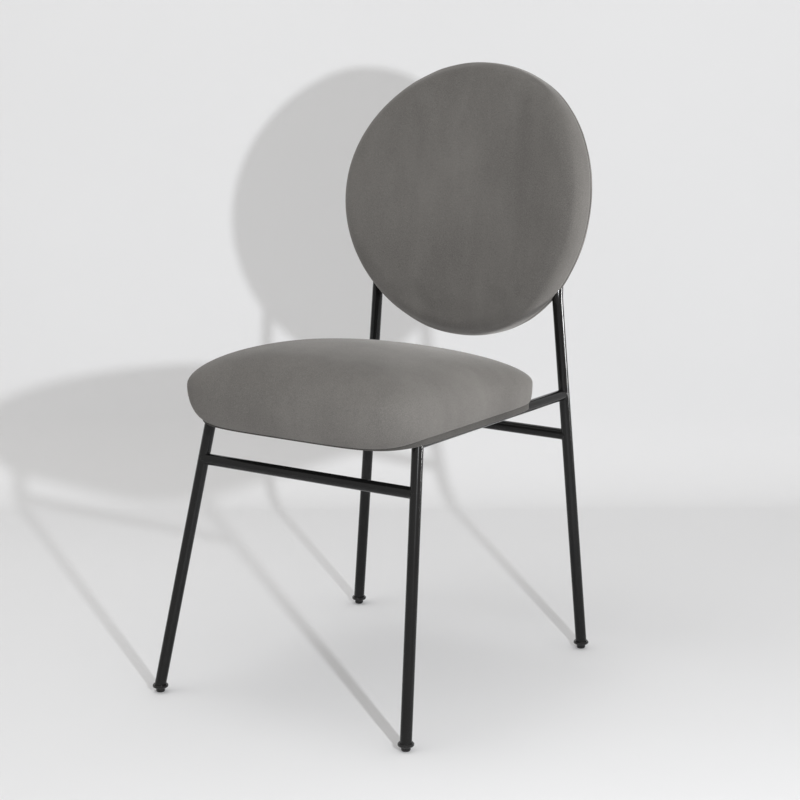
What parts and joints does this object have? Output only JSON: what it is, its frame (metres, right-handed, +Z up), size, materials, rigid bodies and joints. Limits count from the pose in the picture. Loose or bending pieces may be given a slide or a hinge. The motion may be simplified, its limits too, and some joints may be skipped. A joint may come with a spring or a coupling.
{
  "type": "dining chair",
  "caption": "Upholstered dining chair with a domed velvet seat, a round padded backrest and a welded frame of slim black round tube.",
  "frame": {"origin": "on the floor at the middle of the chair's outline", "axes": "+Z up, +X to the right of somebody looking at the chair's front, the chair facing -Y"},
  "size_m": [0.4336, 0.5823, 0.8593],
  "materials": {
    "seat_velvet": "short-pile grey velvet with a soft nap",
    "back_velvet": "short-pile grey velvet with a soft nap",
    "velvet_band": "folded grey velvet band",
    "frame_black": "black powder coat, semi-gloss",
    "glide_black": "black moulded plastic, glossy",
    "plywood": "birch plywood, uncoated",
    "foam": "open-cell polyurethane foam",
    "dust_cloth": "black non-woven cloth",
    "zinc_steel": "zinc-plated steel"
  },
  "bodies": {
    "root": {"back_board": "plywood", "back_cover_front": "back_velvet", "back_cover_rear": "back_velvet", "back_foam_front": "foam", "back_foam_rear": "foam", "back_screws": "zinc_steel", "back_tee_nuts": "zinc_steel", "front_glide_left": "glide_black", "front_glide_right": "glide_black", "front_leg_left": "frame_black", "front_leg_right": "frame_black", "front_rail": "frame_black", "rear_glide_left": "glide_black", "rear_glide_right": "glide_black", "rear_leg_left": "frame_black", "rear_leg_right": "frame_black", "rear_rail": "frame_black", "seat_band": "velvet_band", "seat_board": "plywood", "seat_cover": "seat_velvet", "seat_dust_cover": "dust_cloth", "seat_foam": "foam", "seat_screws": "zinc_steel", "seat_tab_front_left": "frame_black", "seat_tab_front_right": "frame_black", "seat_tab_rear_left": "frame_black", "seat_tab_rear_right": "frame_black", "seat_tee_nuts": "zinc_steel", "side_rail_left": "frame_black", "side_rail_right": "frame_black"}
  },
  "joints": []
}
